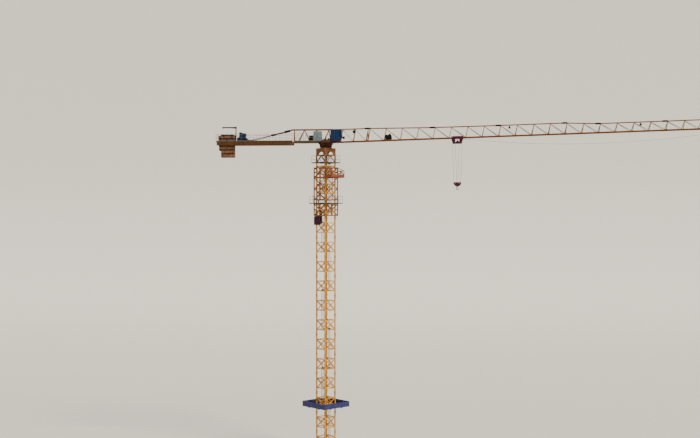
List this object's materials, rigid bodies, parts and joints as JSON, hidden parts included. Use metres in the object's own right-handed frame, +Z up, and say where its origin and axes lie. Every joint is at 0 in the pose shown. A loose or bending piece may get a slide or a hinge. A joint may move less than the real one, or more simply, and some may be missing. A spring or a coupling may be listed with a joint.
{
  "type": "flat-top tower crane, one-tenth scale model",
  "caption": "Flat-top tower crane at one-tenth scale: square lattice mast with climbing frame, slewing head with cab, hung-slab counter-jib, and a long jib with trolley and hook.",
  "frame": {"origin": "centre of the base frame's underside, on the mast's axis", "axes": "+X along the jib, +Z up, -Y towards the cab's side"},
  "size_m": [7.9816, 0.7258, 5.1331],
  "materials": {
    "mast_paint": "warm yellow site paint, dusty",
    "jib_paint": "yellow paint, dulled and dusty",
    "galvanised_steel": "dull galvanised tube",
    "deck_steel": "worn chequer plate and grating",
    "board_paint": "navy blue sheet",
    "roller_iron": "greased iron",
    "intake_paint": "orange-brown primer",
    "ram_steel": "grey enamel",
    "maroon_paint": "maroon enamel",
    "slewing_paint": "dark red-brown oxide paint",
    "motor_paint": "dark navy machine enamel",
    "cab_paint": "navy blue sheet steel",
    "cab_glass": "tinted safety glass",
    "cabinet_paint": "pale grey-green powder coat",
    "black_enamel": "black enamel",
    "tie_paint": "red oxide paint",
    "drum_steel": "bare steel with wound rope",
    "concrete": "brown-stained cast concrete",
    "wire_rope": "greased wire rope",
    "hook_iron": "forged iron"
  },
  "bodies": {
    "tower": {"base_frame": "mast_paint", "mast_legs": "mast_paint", "mast_bracing_intake": "mast_paint", "mast_bracing_left": "mast_paint", "mast_bracing_ram": "mast_paint", "mast_bracing_right": "mast_paint", "mast_ladders": "galvanised_steel", "mast_landings": "galvanised_steel", "guard_platform": "deck_steel", "guard_boards": "board_paint", "cage_posts": "mast_paint", "cage_side_intake": "mast_paint", "cage_side_left": "mast_paint", "cage_side_ram": "mast_paint", "cage_side_right": "mast_paint", "cage_rollers": "roller_iron", "cage_platform": "deck_steel", "cage_handrails": "galvanised_steel", "intake_platform": "intake_paint", "climbing_ram": "ram_steel", "climbing_yoke": "maroon_paint", "slewing_base": "mast_paint", "top_platform": "deck_steel", "top_handrails": "galvanised_steel"},
    "upper": {"slewing_table": "slewing_paint", "slewing_motors": "motor_paint", "head_frame": "jib_paint", "head_top_chord": "jib_paint", "head_side_near": "jib_paint", "head_side_far": "jib_paint", "head_platform": "deck_steel", "head_handrails": "galvanised_steel", "cab_shell": "cab_paint", "cab_windows": "cab_glass", "electric_cabinet": "cabinet_paint", "control_box": "black_enamel", "counter_jib_beams": "jib_paint", "counter_jib_deck": "deck_steel", "counter_jib_handrails": "galvanised_steel", "tie_bars": "tie_paint", "hoist_winch": "motor_paint", "hoist_drum": "drum_steel", "counterweights": "concrete", "davit_post": "jib_paint", "jib_top_chord": "jib_paint", "jib_side_near": "jib_paint", "jib_side_far": "jib_paint", "jib_floor_bracing": "jib_paint", "jib_tip": "jib_paint", "trolley_winch": "black_enamel", "rope_pulleys": "roller_iron", "hoist_rope_rear": "wire_rope", "hoist_rope_head": "wire_rope", "hoist_rope_tip": "wire_rope"},
    "davit": {"davit_arm": "jib_paint"},
    "trolley": {"trolley_frame": "maroon_paint", "hoist_falls": "wire_rope"},
    "hook_block": {"hook_block": "maroon_paint"},
    "hook": {"load_hook": "hook_iron"}
  },
  "joints": [
    {"name": "slew", "type": "hinge", "parent": "tower", "child": "upper", "pos_m": [0, 0, 4.7145], "axis": [0, 0, 1], "continuous": true},
    {"name": "trolley_travel", "type": "slide", "parent": "upper", "child": "trolley", "axis": [0.9995, 0, 0.0309], "range_m": [-1.57, 4.05], "deforming": ["hoist_rope_head", "hoist_rope_tip"]},
    {"name": "hoist", "type": "slide", "parent": "trolley", "child": "hook_block", "axis": [0, 0, -1], "range_m": [-0.52, 4], "deforming": ["hoist_falls"]},
    {"name": "hook_swivel", "type": "hinge", "parent": "hook_block", "child": "hook", "pos_m": [2.02218, 0, 4.11011], "axis": [0, 0, 1], "continuous": true},
    {"name": "davit_swing", "type": "hinge", "parent": "upper", "child": "davit", "pos_m": [-1.404, 0, 5.0265], "axis": [0, 0, 1], "range_deg": [-135, 135]}
  ]
}
